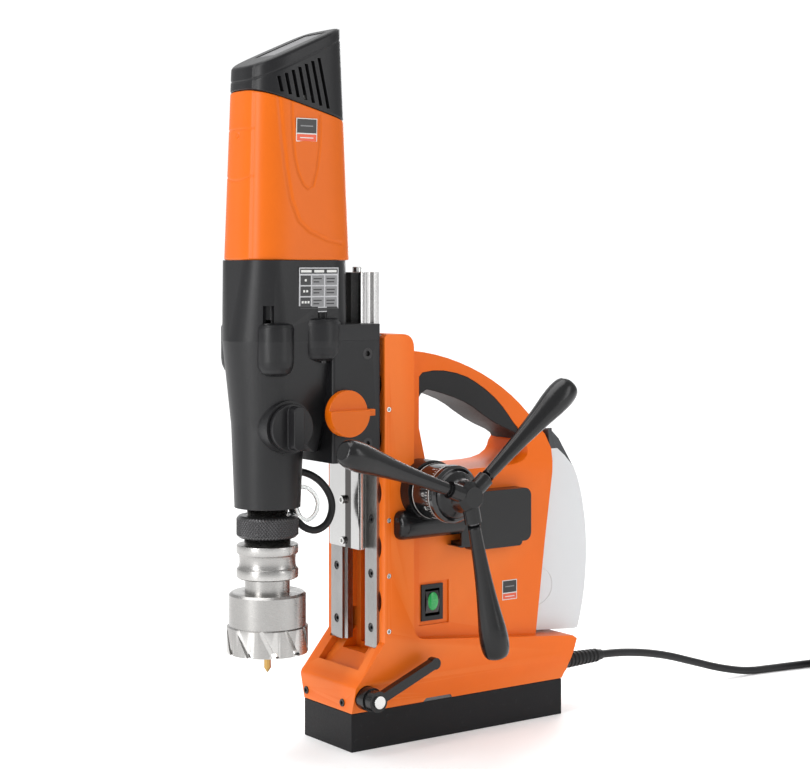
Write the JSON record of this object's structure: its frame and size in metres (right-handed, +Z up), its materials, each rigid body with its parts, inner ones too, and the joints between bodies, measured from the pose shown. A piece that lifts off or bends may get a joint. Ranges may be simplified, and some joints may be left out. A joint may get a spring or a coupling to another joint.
{
  "type": "magnetic drill press",
  "caption": "Magnetic drill press: electromagnet foot, swivelling stand with rack feed and star handle, geared drill motor with annular cutter, coolant tank and mains cord.",
  "frame": {"origin": "centre of the magnet's lower face, on the working surface", "axes": "+X to the rear where the cord leaves, -X to the spindle, -Y to the star handle, +Z up along the spindle"},
  "size_m": [0.82, 0.272, 0.6619],
  "materials": {
    "magnet_black": "matte black paint",
    "copper": "enamelled copper wire",
    "resin_black": "cast resin",
    "machined_steel": "machined",
    "orange_paint": "smooth powder coat",
    "grip_rubber": "soft grip",
    "ground_steel": "ground",
    "black_screw": "black oxide",
    "bright_screw": "zinc plated",
    "black_plastic": "fine moulded grain",
    "bronze": "sintered bronze",
    "circuit_board": "board",
    "green_lens": "lit lens",
    "cord_rubber": "rubber sheath",
    "gloss_black": "gloss",
    "black_steel": "black oxide steel",
    "polished_steel": "polished",
    "black_casting": "fine textured coat",
    "orange_plastic": "satin moulding",
    "grey_plastic": "moulded",
    "lamination": "stacked steel",
    "carbon": "carbon",
    "clear_hose": "translucent tube",
    "satin_steel": "turned and blasted",
    "gold_coat": "gold coloured coating",
    "tank_plastic": "translucent moulding",
    "dark_cap": "moulded"
  },
  "bodies": {
    "magnet": {"magnet_body": "magnet_black", "magnet_coil": "copper", "magnet_potting": "resin_black", "swivel_plate": "machined_steel"},
    "stand": {"stand_frame": "orange_paint", "rear_housing": "orange_paint", "handle_grip": "grip_rubber", "near_guide_rail": "ground_steel", "far_guide_rail": "ground_steel", "guide_rail_screws": "black_screw", "gib_screws": "bright_screw", "foot_screws": "black_screw", "pinion_housing": "black_plastic", "feed_bushes": "bronze", "control_box": "black_plastic", "control_board": "circuit_board", "switch_bezel": "black_plastic", "strain_relief": "cord_rubber", "power_cord": "cord_rubber", "cord_coil": "cord_rubber", "mains_plug": "cord_rubber"},
    "rocker": {"switch_rocker": "green_lens"},
    "clamp": {"clamp_lever": "black_plastic", "clamp_lever_screw": "bright_screw"},
    "feed": {"pinion_shaft": "machined_steel", "scale_ring": "gloss_black", "star_hub": "black_plastic", "star_spokes": "black_steel", "star_grips": "black_plastic"},
    "carriage": {"carriage_slide": "polished_steel", "feed_rack": "machined_steel", "carriage_screws": "bright_screw"},
    "motor_unit": {"motor_bracket": "black_casting", "bracket_screws": "black_screw", "gearbox_lower": "black_casting", "gearbox_upper": "black_casting", "gearbox_screws": "bright_screw", "motor_housing": "orange_plastic", "brush_cover": "orange_plastic", "vent_cap": "black_casting", "top_panel": "grey_plastic", "stator": "lamination", "carbon_brushes": "carbon", "motor_bearings": "machined_steel", "spindle_bearings": "machined_steel", "motor_lead": "cord_rubber", "coolant_hose": "clear_hose"},
    "height_clamp": {"height_clamp_knob": "orange_plastic"},
    "selector": {"gear_selector": "black_plastic"},
    "spindle": {"spindle": "machined_steel", "arbor": "satin_steel", "annular_cutter": "satin_steel", "ejector_spring": "machined_steel"},
    "layshaft": {"intermediate_gear": "machined_steel"},
    "armature": {"armature": "lamination", "motor_fan": "grey_plastic"},
    "collar": {"release_collar": "black_steel"},
    "pilot": {"pilot_pin": "gold_coat"},
    "tank": {"coolant_tank": "tank_plastic"},
    "tank_cap": {"tank_cap": "dark_cap"}
  },
  "joints": [
    {"name": "stand_swivel", "type": "hinge", "parent": "magnet", "child": "stand", "pos_m": [-0.0275, 0, 0.0385], "axis": [0, 0, 1], "range_deg": [-15, 15]},
    {"name": "clamp_lever_turn", "type": "hinge", "parent": "stand", "child": "clamp", "pos_m": [-0.113, -0.058, 0.0495], "axis": [0, -1, 0], "range_deg": [-10, 70]},
    {"name": "switch_rock", "type": "hinge", "parent": "stand", "child": "rocker", "pos_m": [-0.0325, -0.033, 0.127], "axis": [1, 0, 0], "range_deg": [-6, 6]},
    {"name": "feed_slide", "type": "slide", "parent": "stand", "child": "carriage", "axis": [0, 0, 1], "range_m": [-0.095, 0.035]},
    {"name": "feed_turn", "type": "hinge", "parent": "stand", "child": "feed", "pos_m": [-0.048, -0.06, 0.235], "axis": [0, 1, 0], "range_deg": [-460, 170]},
    {"name": "motor_height_slide", "type": "slide", "parent": "carriage", "child": "motor_unit", "axis": [0, 0, 1], "range_m": [-0.035, 0.03]},
    {"name": "height_clamp_turn", "type": "hinge", "parent": "motor_unit", "child": "height_clamp", "pos_m": [-0.138, -0.047, 0.31], "axis": [0, 1, 0], "range_deg": [0, 90]},
    {"name": "gear_selector_turn", "type": "hinge", "parent": "motor_unit", "child": "selector", "pos_m": [-0.19, -0.038, 0.299], "axis": [0, 1, 0], "range_deg": [0, 90]},
    {"name": "spindle_spin", "type": "hinge", "parent": "motor_unit", "child": "spindle", "pos_m": [-0.19, 0, 0.2], "axis": [0, 0, 1], "continuous": true},
    {"name": "layshaft_spin", "type": "hinge", "parent": "motor_unit", "child": "layshaft", "pos_m": [-0.15173, 0.01163, 0.39], "axis": [0, 0, 1], "continuous": true},
    {"name": "armature_spin", "type": "hinge", "parent": "motor_unit", "child": "armature", "pos_m": [-0.168, 0, 0.5], "axis": [0, 0, 1], "continuous": true},
    {"name": "collar_slide", "type": "slide", "parent": "spindle", "child": "collar", "axis": [0, 0, 1], "range_m": [0, 0.004], "stiffness_N_per_m": 2000, "springref_m": -0.003},
    {"name": "pilot_slide", "type": "slide", "parent": "spindle", "child": "pilot", "axis": [0, 0, 1], "range_m": [0, 0.019], "stiffness_N_per_m": 300, "springref_m": -0.008, "deforming": ["ejector_spring"]},
    {"name": "tank_pull", "type": "slide", "parent": "stand", "child": "tank", "axis": [1, 0, 0], "range_m": [0, 0.05]},
    {"name": "tank_cap_open", "type": "hinge", "parent": "tank", "child": "tank_cap", "pos_m": [0.119, 0, 0.2795], "axis": [0, -1, 0], "range_deg": [0, 75]}
  ],
  "couplings": [
    {"joint": "feed_turn", "follows": "feed_slide", "rad_per_m": 83.333},
    {"joint": "layshaft_spin", "follows": "spindle_spin", "ratio": -4.3333},
    {"joint": "armature_spin", "follows": "spindle_spin", "ratio": 13}
  ]
}
